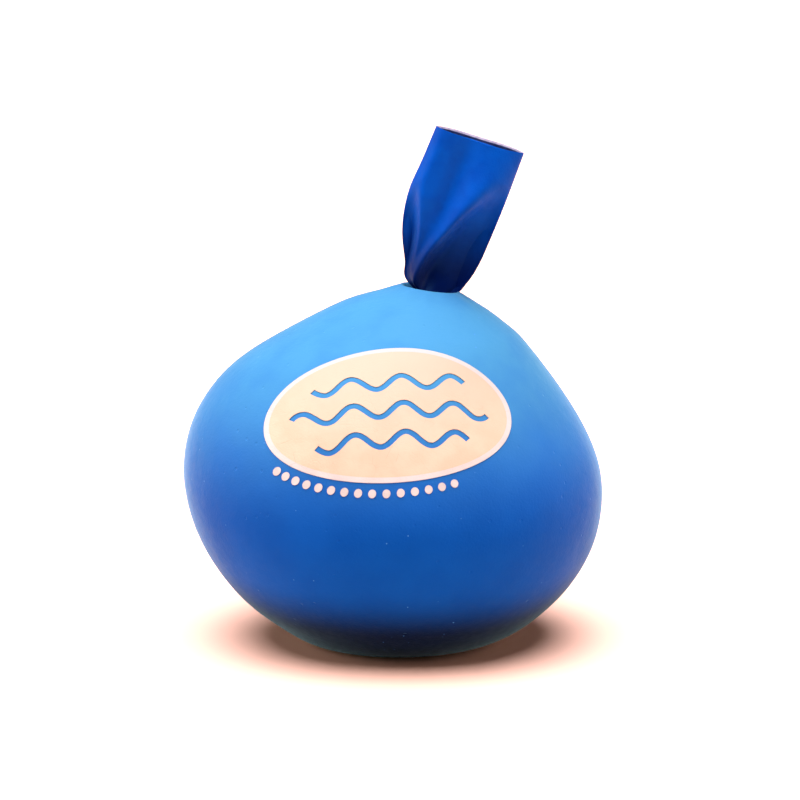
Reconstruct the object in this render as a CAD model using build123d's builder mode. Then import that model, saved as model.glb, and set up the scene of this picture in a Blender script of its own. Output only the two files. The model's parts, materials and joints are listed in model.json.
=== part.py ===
"""A squeezable stress ball: packed powder in a knotted liner balloon, inside a printed outer balloon.

The outer balloon's neck is gathered and tied by a rubber band in a pucker at the top of the ball.
Above the band the neck opens into a flat, trimmed tube that leans to the right.

Frame: millimetres, +Z up, the ball resting on Z = 0, +X to the right as seen from the printed side
and -Y towards it. The origin is the middle of the ball's footprint on the table.

Pieces that move: the crown (gathered neck, band and liner knot) sinks as the ball is squashed, the
neck's root sways from side to side on the crown, and the flat tube above it folds forwards and back.
"""

import os
from math import cos, pi, radians, sin, tan

from build123d import *

# --- The ball -----------------------------------------------------------------------------------
BALL_CENTRE_HEIGHT = 30.0
MEAN_RADIUS = 33.0  # only turns a wall thickness into a scale about the ball's centre
DEPTH_RATIO = 0.945  # front-to-back size over side-to-side size

# Rings of the settled ball from the table up: (left x, left z, right x, right z)
BODY_RINGS = [
    (-14.0, 0.0, 16.0, 0.0),
    (-16.3, 0.8, 19.2, 0.8),
    (-19.9, 3.2, 23.6, 3.2),
    (-25.3, 7.6, 28.8, 7.6),
    (-30.4, 13.8, 33.1, 13.8),
    (-33.9, 20.8, 35.5, 20.8),
    (-35.4, 28.0, 35.8, 28.0),
    (-34.5, 35.5, 33.1, 35.5),
    (-31.1, 42.3, 29.0, 42.3),
    (-25.1, 48.5, 24.5, 48.5),
    (-16.2, 53.8, 20.8, 52.9),
]

# --- The crown, where the skin is drawn up to the neck ---------------------------------------------
PINCH_X, PINCH_Z = 5.3, 56.5  # where the skin is gathered tightest
CROWN_TILT = 8.0  # degrees, to the right

# Rings of the crown about its own tilted axis: (height above the pinch, left reach, right reach)
SHOULDER_RINGS = [(-0.6, 13.7, 14.1), (1.4, 9.4, 10.9)]
PUCKER_RINGS = [
    (2.75, 6.4, 7.7),
    (3.6, 5.0, 6.2),
    (3.5, 4.4, 5.6),
    (2.5, 4.2, 5.1),
    (1.2, 4.1, 4.5),
    (0.0, 4.0, 4.1),
]
UNDER_PUCKER_RING = (2.2, 6.6, 8.0)  # the top of each layer under the skin
FUNNEL_BOTTOM_RADIUS, FUNNEL_TOP_RADIUS, FUNNEL_HEIGHT = 4.0, 6.2, 4.2

# --- Walls ------------------------------------------------------------------------------------------
SKIN_WALL = 0.45
LINER_WALL = 0.35
LAYER_GAP = 0.05
MOVING_GAP = 0.3  # between pieces that move past each other
INK_THICKNESS = 0.12

# --- The liner's knot and the pocket it sits in -----------------------------------------------------
POCKET_RADIUS, POCKET_DEPTH = 3.9, 7.0
KNOT_MAJOR, KNOT_MINOR = 1.6, 1.0
KNOT_DEPTH = 3.1  # of its middle, below the pinch
KNOT_TAIL_LENGTH, KNOT_TAIL_TOP_RADIUS = 2.1, 1.4

# --- The neck, along its own axis from the pinch ------------------------------------------------------
NECK_LEAN = 17.5  # degrees, to the right
NECK_WALL = 0.45
GATHER_RADIUS = 2.2
# Sections of the neck: (height, half width, half thickness). The gathered ones are pressed solid.
GATHERED_SECTIONS = [
    (0.8, GATHER_RADIUS, GATHER_RADIUS),
    (2.6, 2.4, 2.3),
    (3.8, 4.1, 2.3),
    (5.0, 5.0, 2.3),
]
TUBE_SECTIONS = [
    (5.0, 5.0, 2.3),
    (8.0, 6.1, 2.3),
    (12.0, 7.2, 2.3),
    (16.0, 7.8, 2.25),
    (21.0, 8.1, 2.25),
    (26.0, 7.8, 2.3),
    (30.5, 7.75, 2.4),
]
SWAY_HEIGHT, SWAY_RANGE = 6.4, (-45.0, 35.0)
FOLD_HEIGHT, FOLD_RANGE = 14.0, (-70.0, 70.0)
HINGE_MARGIN = 1.0  # degrees of extra room beyond each limit
BAND_HEIGHT, BAND_MINOR = 1.9, 0.45
BAND_TURNS, BAND_PITCH, BAND_CLEARANCE = 2, 0.77, 0.3

# --- The print --------------------------------------------------------------------------------------
PRINT_X, PRINT_Y, PRINT_Z = 0.0, -26.8, 44.0
PRINT_SLOPE = 35.0  # degrees that its plane leans back from upright
PRINT_TURN = 7.0  # degrees, right end up
PANEL_HALF_WIDTH, PANEL_HALF_HEIGHT = 19.8, 11.9
OUTLINE_WIDTH = 0.8
WAVE_COUNT, WAVE_SPACING, WAVE_HEIGHT, WAVE_LENGTH, WAVE_PEN = 3, 5.0, 1.2, 8.0, 0.95
WAVE_HALF_SPANS = (12.0, 15.5, 12.0)  # bottom, middle and top line
WAVE_STEP = 1.0
DOT_COUNT, DOT_RADIUS, DOT_CLEARANCE = 15, 0.62, 1.6
DOT_FROM, DOT_TO = 212.0, 296.0  # degrees round the panel, under its lower left side
PRINT_REACH = 14.0  # how far the print's outline is driven through the skin

pinch = Vector(PINCH_X, 0, PINCH_Z)


def leaning_plane(degrees):
    """The plane through the pinch whose normal leans to the right by an angle."""
    lean = radians(degrees)
    return Plane(origin=pinch, x_dir=(cos(lean), 0, -sin(lean)), z_dir=(sin(lean), 0, cos(lean)))


crown_plane = leaning_plane(CROWN_TILT)
neck_plane = leaning_plane(NECK_LEAN)


def crown_ring(height, left, right):
    """A ring of the crown as its left and right points in the front view."""
    axis, side = crown_plane.z_dir, crown_plane.x_dir
    left_point = pinch + axis * height - side * left
    right_point = pinch + axis * height + side * right
    return left_point.X, left_point.Z, right_point.X, right_point.Z


def ball_form(crown_rings, inset=0.0):
    """The ball's solid form, drawn in towards its centre by inset all over (out, if it is negative)."""
    centre = Vector(0, 0, BALL_CENTRE_HEIGHT)
    factor = 1 - inset / MEAN_RADIUS
    rings = BODY_RINGS + [crown_ring(*r) for r in SHOULDER_RINGS + crown_rings]
    with BuildPart() as form:
        for left_x, left_z, right_x, right_z in rings:
            left = centre + (Vector(left_x, 0, left_z) - centre) * factor
            right = centre + (Vector(right_x, 0, right_z) - centre) * factor
            across = right - left
            half_width = across.length / 2
            ring_plane = Plane(
                origin=(left + right) / 2, x_dir=across, z_dir=across.cross(Vector(0, 1, 0))
            )
            with BuildSketch(ring_plane):
                Ellipse(half_width, half_width * DEPTH_RATIO)
        loft()
    return form.part


def layer_form(inset, pocket):
    """The solid form of what lies under the skin, inset from it, with or without the knot's pocket."""
    with BuildPart() as layer:
        add(ball_form([UNDER_PUCKER_RING], inset))
        with Locations(crown_plane.offset(-inset)):
            Cone(
                FUNNEL_BOTTOM_RADIUS + inset,
                FUNNEL_TOP_RADIUS + inset,
                FUNNEL_HEIGHT + inset,
                align=(Align.CENTER, Align.CENTER, Align.MIN),
                mode=Mode.SUBTRACT,
            )
            if pocket:
                Cylinder(
                    POCKET_RADIUS + inset,
                    POCKET_DEPTH,
                    align=(Align.CENTER, Align.CENTER, Align.MAX),
                    mode=Mode.SUBTRACT,
                )
    return layer.part


# --- The three layers of the ball ---------------------------------------------------------------------
skin_form = ball_form(PUCKER_RINGS)

with BuildPart() as outer_balloon:
    add(skin_form)
    add(layer_form(SKIN_WALL, pocket=False), mode=Mode.SUBTRACT)

liner_inset = SKIN_WALL + LAYER_GAP
with BuildPart() as liner_balloon:
    add(layer_form(liner_inset, pocket=True))
    add(layer_form(liner_inset + LINER_WALL, pocket=True), mode=Mode.SUBTRACT)

with BuildPart() as powder_filling:
    add(layer_form(liner_inset + LINER_WALL + LAYER_GAP, pocket=True))

# --- The liner's knot, in the pocket under the pinch ---------------------------------------------------
with BuildPart() as liner_knot:
    with Locations(crown_plane.offset(-KNOT_DEPTH)):
        Torus(KNOT_MAJOR, KNOT_MINOR)
        Sphere(KNOT_MAJOR)
        Cone(
            KNOT_MINOR,
            KNOT_TAIL_TOP_RADIUS,
            KNOT_TAIL_LENGTH,
            align=(Align.CENTER, Align.CENTER, Align.MIN),
        )

# --- The neck: one gathered tube, cut where it bends ---------------------------------------------------
def neck_form(sections, wall=0.0):
    """The neck's solid form through some of its sections, drawn in by the wall."""
    with BuildPart() as form:
        for height, half_width, half_thickness in sections:
            with BuildSketch(neck_plane.offset(height)):
                Ellipse(half_width - wall, half_thickness - wall)
        loft()
    return form.part


with BuildPart() as neck_tube:
    add(neck_form(GATHERED_SECTIONS))
    add(neck_form(TUBE_SECTIONS))
    add(neck_form(TUBE_SECTIONS, NECK_WALL), mode=Mode.SUBTRACT)

CUTTER_REACH = 40.0


def bend_side(height, limits, cut_plane, upper):
    """Everything on one side of a bend: a half space whose edge falls away from the pivot line.

    The bend turns about the cut plane's normal. Its two sides fall away by half the travel that
    closes them, so that the pieces meet face to face just beyond each limit.
    """
    sign = 1 if upper else -1
    start = height + sign * MOVING_GAP / 2
    closing_low, closing_high = abs(limits[0]) / 2, abs(limits[1]) / 2
    fall_low = CUTTER_REACH * tan(radians(closing_low + HINGE_MARGIN))
    fall_high = CUTTER_REACH * tan(radians(closing_high + HINGE_MARGIN))
    far = start + sign * 2 * CUTTER_REACH
    with BuildPart() as side:
        with BuildSketch(cut_plane):
            with BuildLine():
                Polyline(
                    (0, start),
                    (CUTTER_REACH, start + sign * fall_high),
                    (CUTTER_REACH, far),
                    (-CUTTER_REACH, far),
                    (-CUTTER_REACH, start + sign * fall_low),
                    close=True,
                )
            make_face()
        extrude(amount=CUTTER_REACH, both=True)
    return side.part


# The sway bends the neck in its own flat plane, the fold across it.
sway_plane = Plane(origin=pinch, x_dir=neck_plane.x_dir, z_dir=(0, -1, 0))
fold_plane = Plane(origin=pinch, x_dir=(0, 1, 0), z_dir=neck_plane.x_dir)

with BuildPart() as neck_gather:
    add(neck_tube.part)
    add(bend_side(SWAY_HEIGHT, SWAY_RANGE, sway_plane, upper=False), mode=Mode.INTERSECT)

with BuildPart() as neck_root:
    add(neck_tube.part)
    add(bend_side(SWAY_HEIGHT, SWAY_RANGE, sway_plane, upper=True), mode=Mode.INTERSECT)
    add(bend_side(FOLD_HEIGHT, FOLD_RANGE, fold_plane, upper=False), mode=Mode.INTERSECT)

with BuildPart() as neck_tail:
    add(neck_tube.part)
    add(bend_side(FOLD_HEIGHT, FOLD_RANGE, fold_plane, upper=True), mode=Mode.INTERSECT)

# --- The band that ties the neck: two turns lying on each other ----------------------------------------
with BuildPart() as neck_band:
    for turn in range(BAND_TURNS):
        level = BAND_HEIGHT + (turn - (BAND_TURNS - 1) / 2) * BAND_PITCH
        with Locations(neck_plane.offset(level)):
            Torus(GATHER_RADIUS + BAND_MINOR + BAND_CLEARANCE, BAND_MINOR)

# --- The print, two inks laid on the skin ---------------------------------------------------------------
slope = radians(PRINT_SLOPE)
print_plane = Plane(
    origin=(PRINT_X, PRINT_Y, PRINT_Z), x_dir=(1, 0, 0), z_dir=(0, -cos(slope), sin(slope))
).rotated((0, 0, PRINT_TURN))
inked_form = ball_form(PUCKER_RINGS, -INK_THICKNESS)


def wave_points(half_span):
    """Points of a sine wave, from -half_span to half_span."""
    steps = round(2 * half_span / WAVE_STEP)
    xs = [-half_span + 2 * half_span * i / steps for i in range(steps + 1)]
    return [(x, WAVE_HEIGHT * sin(2 * pi * x / WAVE_LENGTH)) for x in xs]


with BuildPart() as print_panel:
    with BuildSketch(print_plane):
        Ellipse(PANEL_HALF_WIDTH - OUTLINE_WIDTH, PANEL_HALF_HEIGHT - OUTLINE_WIDTH)
        for line, half_span in enumerate(WAVE_HALF_SPANS):
            rise = (line - (WAVE_COUNT - 1) / 2) * WAVE_SPACING
            with BuildLine() as wave:
                Spline(*[(x, y + rise) for x, y in wave_points(half_span)])
            trace(wave.line, WAVE_PEN, mode=Mode.SUBTRACT)
    extrude(amount=PRINT_REACH, both=True)
    add(inked_form, mode=Mode.INTERSECT)
    add(skin_form, mode=Mode.SUBTRACT)

with BuildPart() as print_outline:
    with BuildSketch(print_plane):
        Ellipse(PANEL_HALF_WIDTH, PANEL_HALF_HEIGHT)
        Ellipse(
            PANEL_HALF_WIDTH - OUTLINE_WIDTH,
            PANEL_HALF_HEIGHT - OUTLINE_WIDTH,
            mode=Mode.SUBTRACT,
        )
        for dot in range(DOT_COUNT):
            angle = radians(DOT_FROM + (DOT_TO - DOT_FROM) * dot / (DOT_COUNT - 1))
            along = (PANEL_HALF_WIDTH + DOT_CLEARANCE) * cos(angle)
            down = (PANEL_HALF_HEIGHT + DOT_CLEARANCE) * sin(angle)
            with Locations((along, down)):
                Circle(DOT_RADIUS)
    extrude(amount=PRINT_REACH, both=True)
    add(inked_form, mode=Mode.INTERSECT)
    add(skin_form, mode=Mode.SUBTRACT)

# --- Written out, one file for each piece -------------------------------------------------------------
pieces = {
    "outer_balloon": outer_balloon,
    "liner_balloon": liner_balloon,
    "powder_filling": powder_filling,
    "liner_knot": liner_knot,
    "neck_gather": neck_gather,
    "neck_root": neck_root,
    "neck_tail": neck_tail,
    "neck_band": neck_band,
    "print_panel": print_panel,
    "print_outline": print_outline,
}
os.makedirs("parts", exist_ok=True)
for name, piece in pieces.items():
    piece.part.label = name
    export_step(piece.part, f"parts/{name}.step")
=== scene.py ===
"""The looks of a powder-filled latex stress ball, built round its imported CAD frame.

The outer balloon is drawn from rays cast onto the CAD skin, then drawn in to a pucker round the neck.
The neck is a sculpted tube in two pieces, one across each of its hinges. The print, the tie, the liner,
its knot and the powder are closed meshes of their own. Metres, +Z up, the print facing -Y.
"""

import json
from math import cos, pi, radians, sin, tau

import bmesh
import bpy
import numpy as np
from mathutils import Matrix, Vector, noise
from mathutils.bvhtree import BVHTree


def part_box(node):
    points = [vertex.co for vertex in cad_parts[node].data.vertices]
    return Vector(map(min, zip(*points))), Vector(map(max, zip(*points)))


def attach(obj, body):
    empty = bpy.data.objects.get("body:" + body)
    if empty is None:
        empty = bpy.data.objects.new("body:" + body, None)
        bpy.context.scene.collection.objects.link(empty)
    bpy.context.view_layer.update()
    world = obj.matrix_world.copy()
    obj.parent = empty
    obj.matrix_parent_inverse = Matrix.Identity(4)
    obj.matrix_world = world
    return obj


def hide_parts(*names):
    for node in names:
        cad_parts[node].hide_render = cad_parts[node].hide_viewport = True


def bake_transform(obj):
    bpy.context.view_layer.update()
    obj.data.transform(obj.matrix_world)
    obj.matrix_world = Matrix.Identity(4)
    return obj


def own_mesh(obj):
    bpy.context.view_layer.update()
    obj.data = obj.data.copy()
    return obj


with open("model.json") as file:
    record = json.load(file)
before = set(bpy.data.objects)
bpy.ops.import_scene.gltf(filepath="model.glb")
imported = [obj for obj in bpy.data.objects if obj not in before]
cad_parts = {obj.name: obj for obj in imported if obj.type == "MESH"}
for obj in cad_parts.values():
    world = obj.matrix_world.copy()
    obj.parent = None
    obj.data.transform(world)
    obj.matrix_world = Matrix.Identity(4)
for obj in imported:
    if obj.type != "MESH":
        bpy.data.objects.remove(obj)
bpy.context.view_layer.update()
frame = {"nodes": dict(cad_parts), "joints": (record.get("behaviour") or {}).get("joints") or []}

MM = 0.001
joints = {joint["name"]: joint for joint in frame["joints"]}

# --- Where things are, worked out from the frame ----------------------------------------------------
SWAY_HEIGHT = 6.4 * MM  # of the sway hinge above the pinch, along the neck
sway_pivot = Vector(joints["neck_sway"]["pos_m"])
fold_pivot = Vector(joints["tail_fold"]["pos_m"])
neck_up = (fold_pivot - sway_pivot).normalized()
neck_right = Vector(joints["tail_fold"]["axis"])
neck_front = Vector((0, -1, 0))
pinch = sway_pivot - neck_up * SWAY_HEIGHT

CROWN_TILT = radians(8)  # to the right
crown_up = Vector((sin(CROWN_TILT), 0, cos(CROWN_TILT)))
crown_right = Vector((cos(CROWN_TILT), 0, -sin(CROWN_TILT)))

skin_low, skin_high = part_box("outer_balloon")
ball_middle = Vector((0, 0, skin_high.z / 2))


# --- Camera -----------------------------------------------------------------------------------------
CAMERA_DISTANCE = 0.435
CAMERA_ELEVATION = radians(10)
CAMERA_TARGET = Vector((0.0014, 0, 0.0410))
VIEW_WIDTH = 0.135  # what the picture takes in across, at the ball


def add_camera():
    """A long lens a little above the ball, facing the print."""
    data = bpy.data.cameras.new("camera")
    camera = bpy.data.objects.new("camera", data)
    bpy.context.scene.collection.objects.link(camera)
    back = Vector((0, -cos(CAMERA_ELEVATION), sin(CAMERA_ELEVATION)))
    camera.location = CAMERA_TARGET + back * CAMERA_DISTANCE
    camera.rotation_mode = "QUATERNION"
    camera.rotation_quaternion = (-back).to_track_quat("-Z", "Y")
    data.lens = data.sensor_width * CAMERA_DISTANCE / VIEW_WIDTH
    data.clip_start = 0.01
    bpy.context.scene.camera = camera


add_camera()


# --- Materials --------------------------------------------------------------------------------------
REST_HEIGHT = "rest_height"  # kept on every mesh, so that a colour stays where it is as the ball moves
# Heights above the table between which a colour fades into another
SKIN_PAINTED_SHADE_BELOW = (5.5 * MM, 15.5 * MM)  # painted shade, nearly black below
SKIN_PAINTED_HIGHLIGHT = (23 * MM, 53 * MM)  # painted highlight, paler above
INK_PAINTED_SHADE_ABOVE = (33 * MM, 54 * MM)  # painted shade, darker above
NECK_PAINTED_SHADE = (62 * MM, 74 * MM)  # painted shade, deep blue below
CRAZING_SCALE, CRAZING_WIDTH = 380, 0.018  # cells per metre, and a crack's share of one


class Shader:
    """A principled material and short ways to add procedural detail to it."""

    def __init__(self, name, **inputs):
        self.material = bpy.data.materials.new(name)
        self.material.use_nodes = True
        self.tree = self.material.node_tree
        self.bsdf = self.tree.nodes["Principled BSDF"]
        for label, value in inputs.items():
            self.bsdf.inputs[label.replace("_", " ")].default_value = value
        self.place = self.tree.nodes.new("ShaderNodeTexCoord").outputs["Object"]

    def node(self, kind, **settings):
        made = self.tree.nodes.new(kind)
        for label, value in settings.items():
            setattr(made, label, value)
        return made

    def link(self, start, end):
        self.tree.links.new(start, end)

    def noise(self, scale, detail=3.0, roughness=0.5):
        """Noise of the object's own coordinates; scale is features per metre."""
        made = self.node("ShaderNodeTexNoise")
        made.inputs["Scale"].default_value = scale
        made.inputs["Detail"].default_value = detail
        made.inputs["Roughness"].default_value = roughness
        self.link(self.place, made.inputs["Vector"])
        return made.outputs["Fac"]

    def spots(self, scale, size):
        """1 inside small round spots scattered about, 0 outside; size is a share of their spacing."""
        cells = self.node("ShaderNodeTexVoronoi")
        cells.inputs["Scale"].default_value = scale
        self.link(self.place, cells.inputs["Vector"])
        return self.ramp(cells.outputs["Distance"], size, size * 0.6)

    def cracks(self, scale, width):
        """1 on the thin edges between cells, 0 inside them."""
        cells = self.node("ShaderNodeTexVoronoi", feature="DISTANCE_TO_EDGE")
        cells.inputs["Scale"].default_value = scale
        self.link(self.place, cells.inputs["Vector"])
        return self.ramp(cells.outputs["Distance"], width, 0)

    def ramp(self, value, low, high, low_to=0.0, high_to=1.0):
        """value from low to high becomes low_to to high_to, eased between them and held beyond."""
        made = self.node("ShaderNodeMapRange", interpolation_type="SMOOTHSTEP")
        limits = {"From Min": low, "From Max": high, "To Min": low_to, "To Max": high_to}
        for label, number in limits.items():
            made.inputs[label].default_value = number
        self.link(value, made.inputs["Value"])
        return made.outputs["Result"]

    def height(self, low, high):
        """0 below one height of the resting ball and 1 above another, in any pose."""
        rest = self.node("ShaderNodeAttribute", attribute_name=REST_HEIGHT)
        return self.ramp(rest.outputs["Fac"], low, high)

    def multiply(self, first, second):
        made = self.node("ShaderNodeMath", operation="MULTIPLY")
        self.link(first, made.inputs[0])
        self.link(second, made.inputs[1])
        return made.outputs["Value"]

    def mix(self, factor, first, second):
        """A colour from first to second; each is a colour or another mix's output."""
        made = self.node("ShaderNodeMix", data_type="RGBA")
        self.link(factor, made.inputs["Factor"])
        first_colour, second_colour = made.inputs[6], made.inputs[7]  # A and B, as colours
        for socket, colour in ((first_colour, first), (second_colour, second)):
            if isinstance(colour, tuple):
                socket.default_value = (*colour, 1)
            else:
                self.link(colour, socket)
        return made.outputs[2]

    def bump(self, *layers):
        """Bumps laid on each other; each layer is (height, depth in metres)."""
        normal = None
        for height, depth in layers:
            made = self.node("ShaderNodeBump")
            made.inputs["Distance"].default_value = depth
            self.link(height, made.inputs["Height"])
            if normal is not None:
                self.link(normal, made.inputs["Normal"])
            normal = made.outputs["Normal"]
        self.link(normal, self.bsdf.inputs["Normal"])

    def paint(self, label, value):
        """Feeds a node's output to the surface."""
        self.link(value, self.bsdf.inputs[label])


def stretched_latex():
    """Latex stretched thin over the powder: matt, paled at the top as a painted highlight, painted
    nearly black underneath as shade, dusty all over.
    """
    latex = Shader(
        "stretched_latex",
        IOR=1.13,
        Specular_Tint=(0.3, 0.7, 1, 1),
        Sheen_Weight=0.4,
        Sheen_Roughness=0.3,
        Sheen_Tint=(0.4, 0.8, 1, 1),
    )
    cloudy = latex.ramp(latex.noise(90, detail=4), 0.3, 0.7)
    colour = latex.mix(cloudy, (0.0005, 0.053, 0.305), (0.001, 0.062, 0.342))
    # Painted highlight: the skin is paled towards the top, where the overhead light falls, in uneven
    # patches.
    patchy = latex.ramp(latex.noise(120), 0.3, 0.6, 0.85, 1)
    painted_highlight = latex.multiply(latex.height(*SKIN_PAINTED_HIGHLIGHT), patchy)
    colour = latex.mix(painted_highlight, colour, (0.038, 0.168, 0.335))
    # Painted shade: the skin darkens nearly to black towards the table, where its underside is in shade.
    colour = latex.mix(latex.height(*SKIN_PAINTED_SHADE_BELOW), (0.0001, 0.003, 0.024), colour)
    dust = latex.multiply(latex.spots(560, 0.08), latex.ramp(latex.noise(160), 0.54, 0.62))
    colour = latex.mix(dust, colour, (0.05, 0.17, 0.46))
    latex.paint("Base Color", colour)
    latex.paint("Roughness", latex.ramp(latex.noise(700, detail=5), 0.3, 0.7, 0.5, 0.6))
    latex.bump(
        (latex.noise(2600, detail=3), 0.00003),
        (latex.noise(330, detail=4), 0.00006),
        (latex.spots(300, 0.09), -0.00004),
    )
    return latex.material


def slack_latex():
    """The same latex where it isn't stretched: deeper in colour, smoother, and painted darkest at its
    root as shade.
    """
    latex = Shader(
        "slack_latex",
        IOR=1.2,
        Specular_Tint=(0.2, 0.6, 1, 1),
        Sheen_Weight=0.18,
        Sheen_Roughness=0.3,
        Sheen_Tint=(0.4, 0.8, 1, 1),
    )
    cloudy = latex.ramp(latex.noise(240, detail=4), 0.3, 0.7)
    colour = latex.mix(cloudy, (0.0003, 0.040, 0.29), (0.0005, 0.054, 0.35))
    # Painted shade: the neck darkens to deep blue towards its root, where the fold shades it.
    colour = latex.mix(latex.height(*NECK_PAINTED_SHADE), (0.0001, 0.006, 0.075), colour)
    latex.paint("Base Color", colour)
    latex.paint("Roughness", latex.ramp(latex.noise(900, detail=4), 0.3, 0.7, 0.36, 0.48))
    latex.bump((latex.noise(3200, detail=3), 0.00002), (latex.noise(800, detail=3), 0.00004))
    return latex.material


def latex_inside_painted_shade():
    """The neck's inner wall, matt with the powder that balloons are packed with, and painted dark as the
    shade inside the tube.
    """
    latex = Shader("latex_inside_painted_shade", Roughness=0.8, IOR=1.4)
    dusty = latex.ramp(latex.noise(900, detail=5), 0.35, 0.65)
    # Painted shade: the inner wall is coloured dark for the shade inside the tube.
    latex.paint("Base Color", latex.mix(dusty, (0.004, 0.012, 0.08), (0.015, 0.03, 0.14)))
    latex.bump((latex.noise(2500), 0.00003))
    return latex.material


def far_rim_painted_highlight():
    """The far half of the mouth's trimmed edge, painted pale as a highlight where light catches it."""
    latex = Shader("far_rim_painted_highlight", Roughness=0.65, IOR=1.45)
    worn = latex.ramp(latex.noise(1500, detail=3), 0.35, 0.65)
    # Painted highlight: the pale colour stands for light catching the far rim.
    latex.paint("Base Color", latex.mix(worn, (0.17, 0.15, 0.25), (0.25, 0.22, 0.33)))
    latex.bump((latex.noise(4000), 0.00002))
    return latex.material


def ink(name, colour, darker):
    """Screen ink: matt, mottled, darkened towards the top as painted shade, and crazed by the latex
    stretched under it.
    """
    paint = Shader(name, Roughness=0.62, IOR=1.35)
    painted_shade_colour = tuple(0.72 * share for share in colour)
    cracked = tuple(0.85 * share for share in darker)
    cloudy = paint.ramp(paint.noise(260, detail=5), 0.3, 0.7)
    here_and_there = paint.ramp(paint.noise(220), 0.54, 0.64)
    crazing = paint.multiply(paint.cracks(CRAZING_SCALE, CRAZING_WIDTH), here_and_there)
    base = paint.mix(cloudy, darker, colour)
    # Painted shade: the ink is darkened towards the top, against the bright light that falls there.
    base = paint.mix(paint.height(*INK_PAINTED_SHADE_ABOVE), base, painted_shade_colour)
    paint.paint("Base Color", paint.mix(crazing, base, cracked))
    paint.bump((paint.noise(3000), 0.00003), (paint.cracks(CRAZING_SCALE, CRAZING_WIDTH), -0.00001))
    return paint.material


def band_rubber():
    """The tie's darker rubber, brushed along its length."""
    rubber = Shader("band_rubber", IOR=1.5)
    worn = rubber.ramp(rubber.noise(1200, detail=4), 0.35, 0.65)
    rubber.paint("Base Color", rubber.mix(worn, (0.003, 0.03, 0.16), (0.008, 0.05, 0.22)))
    rubber.paint("Roughness", rubber.ramp(rubber.noise(2000), 0.3, 0.7, 0.5, 0.65))
    rubber.bump((rubber.noise(4000), 0.00003))
    return rubber.material


def liner_latex():
    """Natural latex, cream coloured and dusted with powder."""
    latex = Shader("liner_latex", IOR=1.45, Sheen_Weight=0.2)
    dusty = latex.ramp(latex.noise(500, detail=5), 0.4, 0.65)
    latex.paint("Base Color", latex.mix(dusty, (0.62, 0.53, 0.38), (0.78, 0.73, 0.64)))
    latex.paint("Roughness", latex.ramp(latex.noise(900), 0.3, 0.7, 0.45, 0.7))
    latex.bump((latex.noise(2500), 0.00003))
    return latex.material


def packed_powder():
    """Fine pale powder, pressed into a lump."""
    powder = Shader("packed_powder", Roughness=0.95, IOR=1.4)
    grain = powder.ramp(powder.noise(5000, detail=6), 0.3, 0.7)
    powder.paint("Base Color", powder.mix(grain, (0.66, 0.60, 0.50), (0.84, 0.80, 0.72)))
    powder.bump((powder.noise(6000, detail=6), 0.0001), (powder.noise(400), 0.0002))
    return powder.material


# --- Small tools for meshes -------------------------------------------------------------------------
def smooth_along(x, points):
    """A smooth curve through (x, value) points, evaluated at an array of x, level beyond its ends."""
    xs = np.array([p[0] for p in points], float)
    ys = np.array([p[1] for p in points], float)
    slopes = np.gradient(ys, xs)
    x = np.clip(x, xs[0], xs[-1])
    i = np.clip(np.searchsorted(xs, x) - 1, 0, len(xs) - 2)
    width = xs[i + 1] - xs[i]
    t = (x - xs[i]) / width
    return (
        (2 * t**3 - 3 * t**2 + 1) * ys[i]
        + (t**3 - 2 * t**2 + t) * width * slopes[i]
        + (3 * t**2 - 2 * t**3) * ys[i + 1]
        + (t**3 - t**2) * width * slopes[i + 1]
    )


def smoothstep(x, low, high):
    """0 up to low and 1 from high on, eased between them."""
    t = np.clip((x - low) / (high - low), 0, 1)
    return t * t * (3 - 2 * t)


def ring_quads(rings, around, first=0):
    """Faces that join rings of vertices, each of the same count, in order."""
    return [
        (
            first + r * around + i,
            first + r * around + (i + 1) % around,
            first + (r + 1) * around + (i + 1) % around,
            first + (r + 1) * around + i,
        )
        for r in range(rings - 1)
        for i in range(around)
    ]


def add_piece(name, vertices, faces, materials, face_materials=None):
    """A smooth-shaded mesh object with its faces turned outwards."""
    mesh = bpy.data.meshes.new(name)
    mesh.from_pydata([tuple(v) for v in vertices], [], faces)
    for material in materials:
        mesh.materials.append(material)
    if face_materials is not None:
        mesh.polygons.foreach_set("material_index", face_materials)
    shape = bmesh.new()
    shape.from_mesh(mesh)
    bmesh.ops.recalc_face_normals(shape, faces=shape.faces)
    shape.to_mesh(mesh)
    shape.free()
    mesh.shade_smooth()
    rest_height = mesh.attributes.new(REST_HEIGHT, "FLOAT", "POINT")
    rest_height.data.foreach_set("value", [vertex.co.z for vertex in mesh.vertices])
    piece = bpy.data.objects.new(name, mesh)
    bpy.context.scene.collection.objects.link(piece)
    return piece


def grid_normals(grid):
    """Unit normals of a closed-round grid of points, rings by around by 3."""
    along = np.gradient(grid, axis=0)
    around = np.roll(grid, -1, axis=1) - np.roll(grid, 1, axis=1)
    normals = np.cross(along, around)
    lengths = np.linalg.norm(normals, axis=2, keepdims=True)
    return normals / np.maximum(lengths, 1e-12)


def relax(grid, times):
    """Evens out a grid that is closed round; its first and last rows only along themselves."""
    for _ in range(times):
        beside = (np.roll(grid, 1, axis=1) + np.roll(grid, -1, axis=1)) / 2
        grid = grid * 0.5 + beside * 0.5
        grid[1:-1] = grid[1:-1] * 0.5 + (grid[:-2] + grid[2:]) * 0.25
    return grid


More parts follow.
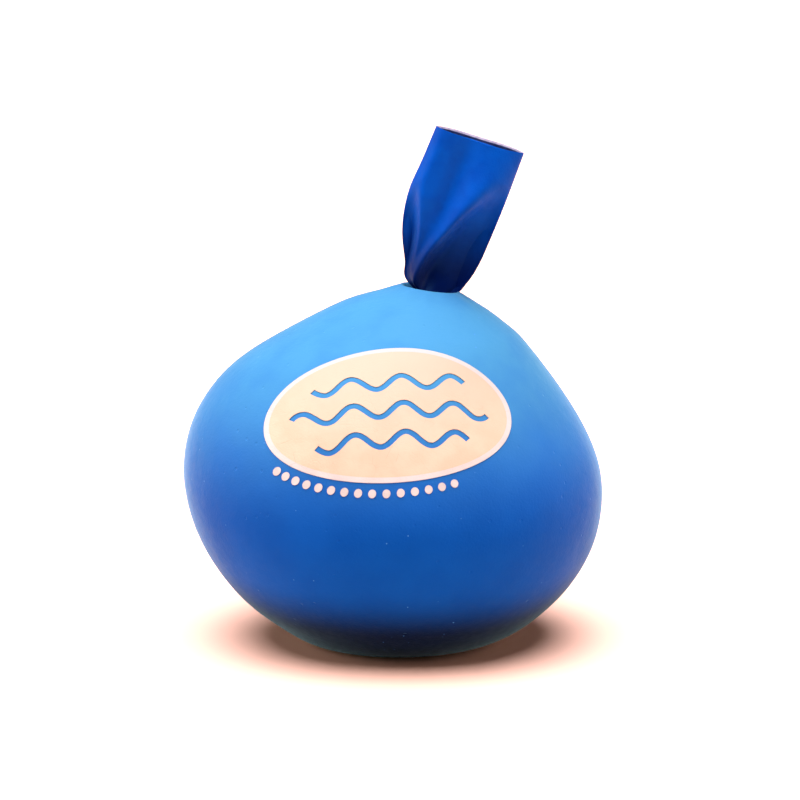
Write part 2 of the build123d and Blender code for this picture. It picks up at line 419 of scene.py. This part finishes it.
# --- The ball's skin, a grid of rings round the crown -----------------------------------------------
AROUND = 256
RING_SPACING = 0.9 * MM
SKIN_WALL = 0.45 * MM
SKIN_EVENINGS = 10  # rounds of smoothing, which take out the CAD skin's faint steps
RAY_START = 0.2  # metres from the ball's middle, well outside it
CREST_SEARCH = (radians(5), radians(25))  # the lip lies between these angles from the crown's axis
CREST_HALVINGS = 24
CREST_RADIUS = 5.15 * MM  # of the lip round the pucker
CREST_SHIFT = 0.6 * MM  # of the lip's middle to the right of the crown's axis
PUCKER_RINGS = [  # (share of the lip's radius, depth below the lip in mm)
    (0.96, -0.14),
    (0.92, -0.12),
    (0.885, 0.15),
    (0.85, 0.7),
    (0.80, 1.7),
    (0.77, 2.5),
    (0.75, 3.1),
]
PLEATS = 13
PLEAT_DEPTH, PLEAT_FULL = 0.28, (-0.2, 2.5)  # inside the lip, growing between these depths, in mm
PLEAT_HEIGHT, PLEAT_ROWS = 0.05, 9  # outside it, in mm, dying out over so many rows
LUMPS = [(55, 0.25), (140, 0.06)]  # (per metre, height in mm)
LUMPS_ABOVE_TABLE = (0.5 * MM, 7 * MM)  # heights between which they grow
LUMPS_BELOW_LIP = 10  # rows over which they grow
turns = tau * np.arange(AROUND) / AROUND


def mesh_tree(node):
    """A ray-casting tree of a CAD node."""
    mesh = frame["nodes"][node].data
    points = [vertex.co for vertex in mesh.vertices]
    return BVHTree.FromPolygons(points, [tuple(face.vertices) for face in mesh.polygons])


def cast_from_outside(tree, direction):
    """Where a ray towards the ball's middle first meets the surface."""
    return tree.ray_cast(ball_middle + direction * RAY_START, -direction)[0]


def crest_angle(tree, up, across):
    """The angle from the crown's axis at which the skin reaches the lip's radius, found by halving."""
    low, high = CREST_SEARCH
    centre = pinch + crown_right * CREST_SHIFT
    for _ in range(CREST_HALVINGS):
        middle = (low + high) / 2
        offset = cast_from_outside(tree, up * cos(middle) + across * sin(middle)) - centre
        radius = (offset - crown_up * offset.dot(crown_up)).length
        low, high = (middle, high) if radius < CREST_RADIUS else (low, middle)
    return high


def skin_grid():
    """The outside of the skin, from the pucker's lip down to the underside."""
    tree = mesh_tree("outer_balloon")
    up = (pinch - ball_middle).normalized()
    front = Vector((0, -1, 0))
    right = front.cross(up).normalized()
    rings = round((skin_high.x - skin_low.x) / 2 * pi / RING_SPACING)
    grid = np.zeros((rings, AROUND, 3))
    for i, turn in enumerate(turns):
        across = right * cos(turn) + front * sin(turn)
        start = crest_angle(tree, up, across)
        for r in range(rings):
            angle = start + (pi - start) * r / (rings - 0.5)
            grid[r, i] = cast_from_outside(tree, up * cos(angle) + across * sin(angle))
    return grid


def add_lumps(grid):
    """Soft unevenness of powder under a thin skin, none of it at the table or the lip."""
    outwards = grid_normals(grid)
    heights = np.zeros(grid.shape[:2])
    for r in range(grid.shape[0]):
        for i in range(grid.shape[1]):
            point = Vector(grid[r, i])
            heights[r, i] = sum(noise.noise(point * scale) * height for scale, height in LUMPS)
    above_table = smoothstep(grid[:, :, 2], *LUMPS_ABOVE_TABLE)
    below_lip = smoothstep(np.arange(grid.shape[0]), 0, LUMPS_BELOW_LIP)[:, None]
    return grid + outwards * (heights * above_table * below_lip)[:, :, None] * MM


def add_pucker(grid):
    """Rings that turn over the lip and go down to the tie, with the gathers' uneven pleats in them."""
    wander = 0.7 * np.sin(2 * turns + 0.7) + 0.5 * np.sin(3 * turns + 2.1)
    wave = 0.7 * np.sin(PLEATS * turns + wander) + 0.3 * np.sin((PLEATS - 5) * turns + 1.3)
    lip = grid[0]
    centre = lip.mean(axis=0)
    out = lip - centre
    out_length = np.linalg.norm(out, axis=1, keepdims=True)
    rings = []
    for share, depth in reversed(PUCKER_RINGS):
        pleat = wave * smoothstep(depth, *PLEAT_FULL) * PLEAT_DEPTH * MM
        reach = share * out_length + pleat[:, None]
        rings.append(centre + out / out_length * reach - np.array(crown_up) * depth * MM)
    fade = 1 - smoothstep(np.arange(grid.shape[0]), 0, PLEAT_ROWS)
    height = wave[None, :] * fade[:, None] * PLEAT_HEIGHT * MM
    return np.concatenate([np.array(rings), grid + grid_normals(grid) * height[:, :, None]])


def shell_from_grid(outer, inner):
    """Vertices and faces of a closed shell between two grids that end in a pole at their last ring."""
    rings, around = outer.shape[:2]
    vertices = []
    for grid in (outer, inner):
        vertices += [*grid.reshape(-1, 3), grid[-1].mean(axis=0)]
    second = rings * around + 1
    last = (rings - 1) * around
    faces = ring_quads(rings, around) + ring_quads(rings, around, second)
    for i in range(around):
        following = (i + 1) % around
        faces.append((last + i, last + following, rings * around))
        faces.append((second + last + i, second + last + following, second + rings * around))
        faces.append((i, following, second + following, second + i))
    return vertices, faces


body_grid = add_lumps(relax(skin_grid(), SKIN_EVENINGS))
outer_grid = add_pucker(body_grid)


def squash_with_ball(piece):
    """The piece flattens towards the table as the ball is squeezed."""
    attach(piece, "ball")
    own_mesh(piece)


def add_skin():
    """The outer balloon's stretched body, a thin shell."""
    inner_grid = outer_grid - grid_normals(outer_grid) * SKIN_WALL
    vertices, faces = shell_from_grid(outer_grid, inner_grid)
    skin = add_piece("ball_skin", vertices, faces, [stretched_latex()])
    squash_with_ball(skin)
    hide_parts("outer_balloon")


add_skin()

# --- The neck, one sculpted tube made as two pieces -------------------------------------------------
# Heights and places here are in millimetres: up the neck from the pinch, across it to the right, and
# out of its front or back wall.
NECK_AROUND = 192
ROW_SPACING = 0.3
NECK_BOTTOM, SEAM, HOLLOW_BOTTOM, MOUTH = 0.9, 9.9, 21.0, 29.7
NECK_WALL = 0.4
NECK_EVENINGS = 2  # rounds of smoothing
# Each list below is a curve up the neck, of (height, value) points
LEFT_EDGE = [
    (0.9, -2.05),
    (2.5, -2.1),
    (4, -4.3),
    (6.8, -5.4),
    (11, -7.2),
    (18, -8.35),
    (24, -7.75),
    (30, -7.2),
]
RIGHT_EDGE = [
    (0.9, 2.05),
    (2.5, 2.1),
    (4, 4.2),
    (6.5, 5.7),
    (10, 6.65),
    (14, 7.1),
    (20, 7.6),
    (30, 8.1),
]
FRONT_BULGE = [(0.9, 2.05), (2.5, 2.1), (5, 2.5), (12, 2.8), (20, 2.8), (30, 2.1)]
BACK_BULGE = [(0.9, 2.05), (2.5, 2.1), (5, 2.5), (12, 2.4), (20, 2.0), (30, 1.3)]
SECTION_POWER = 1.95  # 2 is an ellipse, more is squarer
FOLD_EDGE = 0.65  # the sine, round the section from an edge, at which a wall's folds stand in full
NECK_CREASE = radians(65)  # an edge sharper than this stays crisp

# Each ridge: its place across the neck, its height and its half width, all along the neck
FRONT_RIDGES = [
    (
        [(3, -2.9), (5.5, -3.1), (9, -2.5), (13, -1.0), (16.5, 0.5), (20, 2.4), (24, 4.0), (30, 4.7)],
        [(3, 0.3), (6, 0.7), (12, 0.9), (18, 1.2), (22, 1.1), (26, 0.5), (29.5, 0)],
        [(3, 0.8), (10, 1.2), (16, 2.0), (22, 2.8), (28, 3.0)],
    ),
    (
        [(3, -3.4), (7, -4.2), (10, -4.3), (13, -4.8), (16.5, -5.8), (20, -6.5), (25, -6.2), (30, -5.8)],
        [(3, 0.1), (6, 0.4), (13, 0.5), (17, 0.5), (22, 0.45), (30, 0.3)],
        [(3, 0.5), (12, 0.9), (18, 1.2), (30, 1.3)],
    ),
    (
        [(15, -1.7), (28, -1.2)],
        [(12, 0), (17, -1.3), (25, -1.4), (30, -0.8)],
        [(13, 1.5), (25, 2.2)],
    ),
]
BACK_RIDGES = [
    (
        [(3, 2.3), (8, 2.2), (14, 0.6), (20, -1.8), (26, -3.5)],
        [(3, 0.3), (7, 0.8), (14, 0.7), (22, 0.3), (27, 0)],
        [(3, 0.7), (12, 1.1), (22, 2.2)],
    ),
    (
        [(3, -2.6), (8, -3.9), (14, -5.2), (18, -6.4)],
        [(3, 0.2), (7, 0.6), (14, 0.5), (19, 0)],
        [(3, 0.5), (14, 0.9)],
    ),
    (
        [(15, 2.0), (28, 1.5)],
        [(13, 0), (19, -0.4), (30, -0.1)],
        [(13, 1.4), (25, 2.0)],
    ),
]
# Where a wall is pressed in beside a ridge: the ridge, its side, how deep, and the slope's width
FRONT_HOLLOWS = [
    (0, 1, [(2, 0), (4, 1.8), (6, 2.9), (10, 3.2), (14, 2.9), (18, 2.0), (21, 1.0), (24, 0)], 2.5),
    (1, -1, [(2, 0), (5, 0.8), (8, 1.6), (13, 1.8), (17, 0.8), (19.5, 0)], 1.1),
    (0, -1, [(2, 0), (4, 0.5), (9, 0.8), (14, 0.5), (18, 0)], 1.2),
]
BACK_HOLLOWS = [
    (0, -1, [(2, 0), (5, 0.7), (9, 1.0), (14, 0.8), (19, 0)], 1.8),
    (0, 1, [(2, 0), (5, 0.5), (9, 0.8), (14, 0.6), (18, 0)], 1.2),
]
GATHERS, GATHER_DEPTH = 9, 0.07  # pleats round the tie, and their share of its radius
GATHERS_FADE = (2.8, 7.0)  # heights between which they die out
# The cut dips at the front and rises at the back, a little to the right, and isn't quite straight
MOUTH_TILT, MOUTH_WAVE, MOUTH_TURN = 0.18, 0.04, radians(15)
MOUTH_START = 0.7  # share of the neck's length above which its rows follow the cut
# The cut edge: (share of the way in, rise), the rise in full on the far wall and least on the near one
RIM = [(0.1, 0.38), (0.5, 0.26), (0.9, 0.08)]
NEAR_RIM = 0.15
OUTSIDE, FAR_RIM_PAINTED_HIGHLIGHT, INSIDE = range(3)  # the tube's materials, in order


def wall_relief(across, heights, ridges, hollows):
    """How far a wall's folds stand out of its smooth bulge, in millimetres."""
    relief = np.zeros_like(across)
    for path, rise, spread in ridges:
        offset = (across - smooth_along(heights, path)) / smooth_along(heights, spread)
        relief += smooth_along(heights, rise) * np.exp(-(offset**2))
    for ridge, side, depth, slope in hollows:
        offset = side * (across - smooth_along(heights, ridges[ridge][0]))
        relief -= smooth_along(heights, depth) * smoothstep(offset, 0, slope)
    return relief


def neck_grid(inset=0.0):
    """The neck's surface in millimetres: (across, out of the front, up), rows by around by 3."""
    around = tau * np.arange(NECK_AROUND) / NECK_AROUND
    share = np.linspace(0, 1, neck_row(MOUTH) + 1)[:, None]
    trim = MOUTH_WAVE * np.sin(around * 5) - MOUTH_TILT * np.sin(around - MOUTH_TURN)
    heights = NECK_BOTTOM + (MOUTH - NECK_BOTTOM) * share + trim * smoothstep(share, MOUTH_START, 1)
    left = smooth_along(heights, LEFT_EDGE) + inset
    right = smooth_along(heights, RIGHT_EDGE) - inset
    middle = (left + right) / 2
    level = np.cos(around)
    across = middle + (right - left) / 2 * level
    from_edge = smoothstep(np.abs(np.sin(around)), 0, FOLD_EDGE)
    walls = []
    for bulge, ridges, hollows in (
        (FRONT_BULGE, FRONT_RIDGES, FRONT_HOLLOWS),
        (BACK_BULGE, BACK_RIDGES, BACK_HOLLOWS),
    ):
        smooth_wall = smooth_along(heights, bulge) - inset
        smooth_wall = smooth_wall * (1 - np.abs(level) ** SECTION_POWER) ** (1 / SECTION_POWER)
        walls.append(smooth_wall + wall_relief(across, heights, ridges, hollows) * from_edge)
    out = np.where(np.sin(around) >= 0, walls[0], -walls[1])
    fade = 1 - smoothstep(heights, *GATHERS_FADE)
    gather = 1 + GATHER_DEPTH * np.sin(GATHERS * around + 0.8) * fade
    surface = np.stack([middle + (across - middle) * gather, out * gather, heights], axis=2)
    return relax(surface, NECK_EVENINGS)


def neck_row(height):
    """The number of the neck's row at a height."""
    return round((height - NECK_BOTTOM) / ROW_SPACING)


def in_neck(grid):
    """Neck millimetres to points in the frame."""
    return np.array(pinch) + grid @ (np.array([neck_right, neck_front, neck_up]) * MM)


def tube_with_flat_ends(rings):
    """Vertices and faces of a closed tube; each end is a strip from its front to its back wall."""
    count, around = rings.shape[:2]
    faces = ring_quads(count, around)
    for first in (0, (count - 1) * around):
        for i in range(around // 2):
            ends = (i, i + 1, around - i - 1, (around - i) % around)
            faces.append([first + v for v in dict.fromkeys(ends)])
    return rings.reshape(-1, 3), faces


def mouth_slot(face, rim_row, inner_row):
    """Latex outside and on the near half of the edge, pale on its far half as a painted highlight, and
    powdery inside, painted dark as shade.
    """
    row, column = divmod(face, NECK_AROUND)
    if row >= inner_row:
        return INSIDE
    return FAR_RIM_PAINTED_HIGHLIGHT if row >= rim_row and column >= NECK_AROUND // 2 else OUTSIDE


def add_neck_pieces():
    """The gathered and pleated stretch, solid, and the open tube above it."""
    outside = neck_grid()
    inside = neck_grid(NECK_WALL)
    latex = slack_latex()
    pleats = in_neck(outside[: neck_row(SEAM) + 1])
    root = add_piece("neck_pleats", *tube_with_flat_ends(pleats), [latex])

    outer = outside[neck_row(SEAM) :]
    inner = inside[neck_row(HOLLOW_BOTTOM) :][::-1]
    from_near_wall = (1 - np.sin(tau * np.arange(NECK_AROUND) / NECK_AROUND)) / 2
    rise_share = NEAR_RIM + (1 - NEAR_RIM) * from_near_wall
    rim = [
        outer[-1] * (1 - share) + inner[0] * share + np.outer(rise_share * rise, (0, 0, 1))
        for share, rise in RIM
    ]
    rings = np.concatenate([outer, np.array(rim), inner])
    vertices, faces = tube_with_flat_ends(in_neck(rings))
    slots = [mouth_slot(f, len(outer) - 1, len(outer) + len(rim)) for f in range(len(faces))]
    tube = add_piece("neck_tube", vertices, faces, [latex, far_rim_painted_highlight(), latex_inside_painted_shade()], slots)
    return root, tube


def add_neck():
    """The neck's two pieces, with their sharp creases kept crisp, in place of the CAD neck; they meet
    between its two hinges.
    """
    root, tube = add_neck_pieces()
    for piece in (root, tube):
        piece.data.set_sharp_from_angle(angle=NECK_CREASE)
    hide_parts("neck_gather", "neck_root")
    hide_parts("neck_tail")
    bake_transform(root)
    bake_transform(tube)


add_neck()


# --- The print, draped over the lumpy skin ----------------------------------------------------------
INK_EDGE_LENGTH = 0.8 * MM  # of the longest edge, after at most so many rounds of halving
INK_HALVINGS = 6
INK_WELD = 0.001 * MM
INK_CREASE = radians(40)
SKIN_FACES = ring_quads(*outer_grid.shape[:2])
PRINTS = [  # (piece, CAD node, slot, colour, darker colour)
    ("print_cream", "print_panel", "cream_ink", (0.51, 0.365, 0.28), (0.47, 0.33, 0.245)),
    ("print_white", "print_outline", "white_ink", (0.45, 0.42, 0.43), (0.40, 0.37, 0.375)),
]


def add_print(name, node, material):
    """A copy of a print's outline and thickness, laid on the skin drawn here."""
    shape = bmesh.new()
    shape.from_mesh(frame["nodes"][node].data)
    bmesh.ops.remove_doubles(shape, verts=shape.verts, dist=INK_WELD)
    for _ in range(INK_HALVINGS):
        long_edges = [edge for edge in shape.edges if edge.calc_length() > INK_EDGE_LENGTH]
        bmesh.ops.subdivide_edges(shape, edges=long_edges, cuts=1)
    bmesh.ops.triangulate(shape, faces=shape.faces)
    cad_tree = mesh_tree("outer_balloon")
    skin_tree = BVHTree.FromPolygons(outer_grid.reshape(-1, 3).tolist(), SKIN_FACES)
    for vertex in shape.verts:
        direction = (vertex.co - ball_middle).normalized()
        shift = cast_from_outside(skin_tree, direction) - cast_from_outside(cad_tree, direction)
        vertex.co += shift
    shape.verts.index_update()
    vertices = [vertex.co for vertex in shape.verts]
    faces = [[vertex.index for vertex in face.verts] for face in shape.faces]
    print_piece = add_piece(name, vertices, faces, [material])
    shape.free()
    print_piece.data.set_sharp_from_angle(angle=INK_CREASE)
    squash_with_ball(print_piece)
    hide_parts(node)


for piece_name, cad_node, ink_slot, ink_colour, darker_colour in PRINTS:
    add_print(piece_name, cad_node, ink(ink_slot, ink_colour, darker_colour))

# --- Inside the ball: the liner and the powder ------------------------------------------------------
LINER_INSET = 0.5 * MM  # from the outside of the skin
LINER_WALL = 0.35 * MM
POWDER_INSET = 0.4 * MM  # from the outside of the liner
LINER_TOP_RADIUS = 7.4 * MM  # the liner leaves the skin here and turns down to the pocket
# The pocket for the knot about the crown's axis: (radius, height above the pinch) in millimetres
POCKET = [
    (1.3, -7.0),
    (2.6, -7.0),
    (3.5, -6.9),
    (3.9, -6.4),
    (3.9, -5.0),
    (3.9, -3.5),
    (3.9, -2.0),
    (3.9, -0.7),
]
# From the pocket's rim out to the skin, in the same way
FUNNEL = [(4.1, 0.0), (4.7, 0.6), (5.5, 1.1), (6.3, 1.5), (6.9, 2.0)]


def liner_grid():
    """The outside of the liner: from the pocket's floor up its wall, over, and down inside the skin."""
    body = body_grid - grid_normals(body_grid) * LINER_INSET
    from_axis = body - np.array(pinch)
    from_axis = from_axis - (from_axis @ np.array(crown_up))[:, :, None] * np.array(crown_up)
    clear = np.linalg.norm(from_axis, axis=2).min(axis=1) > LINER_TOP_RADIUS
    body = body[np.argmax(clear) :]
    out = from_axis[np.argmax(clear)]
    out = out / np.linalg.norm(out, axis=1, keepdims=True)
    neck = [
        np.array(pinch) + (out * radius + np.array(crown_up) * height) * MM
        for radius, height in POCKET + FUNNEL
    ]
    return np.concatenate([np.array(neck), body])


def bag(grid):
    """Vertices and faces of a closed bag: a grid with a pole at each end."""
    rings, around = grid.shape[:2]
    vertices = [*grid.reshape(-1, 3), grid[0].mean(axis=0), grid[-1].mean(axis=0)]
    top, bottom = rings * around, rings * around + 1
    last = (rings - 1) * around
    faces = ring_quads(rings, around)
    for i in range(around):
        following = (i + 1) % around
        faces.append((following, i, top))
        faces.append((last + i, last + following, bottom))
    return vertices, faces


def add_filling():
    """The liner, two walls of one closed bag, and the powder packed in it."""
    outside = liner_grid()
    inwards = -grid_normals(outside)
    outer_vertices, outer_faces = bag(outside)
    inner_vertices, inner_faces = bag(outside + inwards * LINER_WALL)
    count = len(outer_vertices)
    faces = outer_faces + [tuple(v + count for v in face) for face in inner_faces]
    liner = add_piece("liner", outer_vertices + inner_vertices, faces, [liner_latex()])
    squash_with_ball(liner)
    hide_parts("liner_balloon")

    powder = add_piece("powder", *bag(outside + inwards * POWDER_INSET), [packed_powder()])
    squash_with_ball(powder)
    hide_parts("powder_filling")


add_filling()


# --- The liner's knot and the tie -------------------------------------------------------------------
# Sizes are in millimetres. The knot is a trefoil: its size across, its rise and fall, the height of its
# middle above the pinch, and the radius of its strand.
KNOT_SIZE, KNOT_RISE, KNOT_MIDDLE, KNOT_STRAND = 0.66, 0.68, -2.6, 0.56
KNOT_STEPS, KNOT_SIDES = 160, 20
# The liner's end above the knot, with its rolled lip: (radius, height above the pinch)
LINER_END = [
    (0.35, -2.1),
    (0.45, -1.7),
    (0.7, -1.35),
    (1.05, -1.1),
    (1.25, -0.98),
    (1.3, -0.88),
    (1.15, -0.86),
    (0.5, -0.95),
]
LINER_END_SIDES = 48
# The tie: two turns of one loop, which cross once. Its mean radius and height, how far the turns part
# outwards and upwards from those, and the radius of its strand.
TIE_RADIUS, TIE_HEIGHT = 2.98, 1.9
TIE_PART_OUT, TIE_PART_UP = 0.38, 0.38
TIE_STRAND = 0.36
TIE_STEPS, TIE_SIDES = 240, 16


def closed_tube(points, radius, sides):
    """Vertices and faces of a round tube along a closed loop of points."""
    points = np.array(points)
    ahead = np.roll(points, -1, axis=0) - np.roll(points, 1, axis=0)
    ahead = ahead / np.linalg.norm(ahead, axis=1, keepdims=True)
    beside = np.cross(ahead, np.array(crown_up))
    beside = beside / np.linalg.norm(beside, axis=1, keepdims=True)
    above = np.cross(beside, ahead)
    angles = tau * np.arange(sides) / sides
    rings = points[:, None] + radius * (
        beside[:, None] * np.cos(angles)[None, :, None] + above[:, None] * np.sin(angles)[None, :, None]
    )
    faces = []
    for r in range(len(points)):
        here, there = r * sides, (r + 1) % len(points) * sides
        for i in range(sides):
            following = (i + 1) % sides
            faces.append((here + i, here + following, there + following, there + i))
    return list(rings.reshape(-1, 3)), faces


def about_crown(across, out, height, up=crown_up, right=crown_right):
    """A point from millimetres right of, in front of and above the pinch."""
    return pinch + (right * across + neck_front * out + up * height) * MM


def add_knot():
    """The liner's neck tied in a simple knot, with its rolled lip above it."""
    path = []
    for t in (tau * i / KNOT_STEPS for i in range(KNOT_STEPS)):
        across, out = sin(t) + 2 * sin(2 * t), cos(t) - 2 * cos(2 * t)
        height = KNOT_MIDDLE - sin(3 * t) * KNOT_RISE
        path.append(about_crown(across * KNOT_SIZE, out * KNOT_SIZE, height))
    vertices, faces = closed_tube(path, KNOT_STRAND * MM, KNOT_SIDES)
    end_turns = [tau * i / LINER_END_SIDES for i in range(LINER_END_SIDES)]
    rings = [
        [about_crown(radius * cos(turn), radius * sin(turn), height) for turn in end_turns]
        for radius, height in LINER_END
    ]
    end_vertices, end_faces = bag(np.array(rings))
    faces += [tuple(v + len(vertices) for v in face) for face in end_faces]
    knot = add_piece("knot", vertices + end_vertices, faces, [liner_latex()])
    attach(knot, "crown")
    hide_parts("liner_knot")


def add_tie():
    """A small rubber band wound twice round the gathered neck, crossing itself once."""
    path = []
    for t in (2 * tau * i / TIE_STEPS for i in range(TIE_STEPS)):
        radius = TIE_RADIUS + TIE_PART_OUT * cos(t / 2)
        height = TIE_HEIGHT + TIE_PART_UP * sin(t / 2)
        path.append(about_crown(radius * cos(t), radius * sin(t), height, neck_up, neck_right))
    tie = add_piece("tie", *closed_tube(path, TIE_STRAND * MM, TIE_SIDES), [band_rubber()])
    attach(tie, "crown")
    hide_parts("neck_band")


add_knot()
add_tie()

# --- Light and floor --------------------------------------------------------------------------------
ROOF_STRENGTH = 9.5
ROOF_SPREAD = radians(66)
ROOF_PLACE = (-0.06, -0.11, 1)  # overhead, a little to the left and in front
WALLS = {  # (metres to the right, strength, colour)
    "left_wall": (-0.6, 2.6, (1, 0.88, 0.72)),
    "right_wall": (0.6, 1.7, (1, 0.80, 0.64)),
}
WALL_SIZE, WALL_HEIGHT, WALL_TARGET_HEIGHT = 0.45, 0.16, 0.03
FLOOR_COLOUR = (0.93, 0.56, 0.46)  # warm in the shade, and pure white under the bright roof
FLOOR_SIZE = 80  # metres, so that its edge is never seen
BACKDROP_BEHIND, BACKDROP_IN_FRONT, OVERHEAD = 1.05, 0.1, 0.22  # brightnesses
FRONT_TO_BACK = (-0.4, 0.3)  # directions between which the backdrop turns from front to back
LOW_TO_HIGH = (0.2, 0.5)  # and from its sides to overhead


def aim(light, place, target):
    """Puts a light at a place, turned towards a target."""
    light.location = place
    light.rotation_mode = "QUATERNION"
    light.rotation_quaternion = (Vector(target) - Vector(place)).to_track_quat("-Z", "Y")


def add_light(name, kind, strength, place, target):
    """A light of a kind; its data is returned, for what else that kind needs."""
    data = bpy.data.lights.new(name, kind)
    data.energy = strength
    light = bpy.data.objects.new(name, data)
    bpy.context.scene.collection.objects.link(light)
    aim(light, place, target)
    return data


def add_backdrop():
    """White behind the ball, dark where the photographer stands, and grey overhead."""
    world = bpy.data.worlds.new("tent")
    bpy.context.scene.world = world
    world.use_nodes = True
    nodes, links = world.node_tree.nodes, world.node_tree.links
    parts = nodes.new("ShaderNodeSeparateXYZ")
    links.new(nodes.new("ShaderNodeTexCoord").outputs["Generated"], parts.inputs["Vector"])

    def fade(axis, limits, first, last):
        """first to last as a direction's axis goes between the limits; first may be another fade."""
        made = nodes.new("ShaderNodeMapRange")
        made.inputs["From Min"].default_value, made.inputs["From Max"].default_value = limits
        if isinstance(first, float):
            made.inputs["To Min"].default_value = first
        else:
            links.new(first, made.inputs["To Min"])
        made.inputs["To Max"].default_value = last
        links.new(parts.outputs[axis], made.inputs["Value"])
        return made.outputs["Result"]

    low_down = fade("Y", FRONT_TO_BACK, BACKDROP_IN_FRONT, BACKDROP_BEHIND)
    links.new(fade("Z", LOW_TO_HIGH, low_down, OVERHEAD), nodes["Background"].inputs["Strength"])


def add_floor():
    """Plain matt paper, with no shine to mirror the ball."""
    bpy.ops.mesh.primitive_plane_add(size=FLOOR_SIZE)
    floor = bpy.context.active_object
    floor.name = "floor"
    paper = bpy.data.materials.new("floor_paper")
    paper.use_nodes = True
    surface = paper.node_tree.nodes["Principled BSDF"]
    surface.inputs["Base Color"].default_value = (*FLOOR_COLOUR, 1)
    surface.inputs["Roughness"].default_value = 1
    surface.inputs["Specular IOR Level"].default_value = 0
    floor.data.materials.append(paper)


def add_studio():
    """A light tent: a broad bright roof, soft warm walls left and right, a backdrop and a floor."""
    roof = add_light("roof", "SUN", ROOF_STRENGTH, ROOF_PLACE, (0, 0, 0))
    roof.angle = ROOF_SPREAD
    for name, (place, strength, colour) in WALLS.items():
        wall = add_light(name, "AREA", strength, (place, 0, WALL_HEIGHT), (0, 0, WALL_TARGET_HEIGHT))
        wall.size = WALL_SIZE
        wall.color = colour
    add_backdrop()
    add_floor()
    bpy.context.scene.view_settings.view_transform = "Standard"


add_studio()
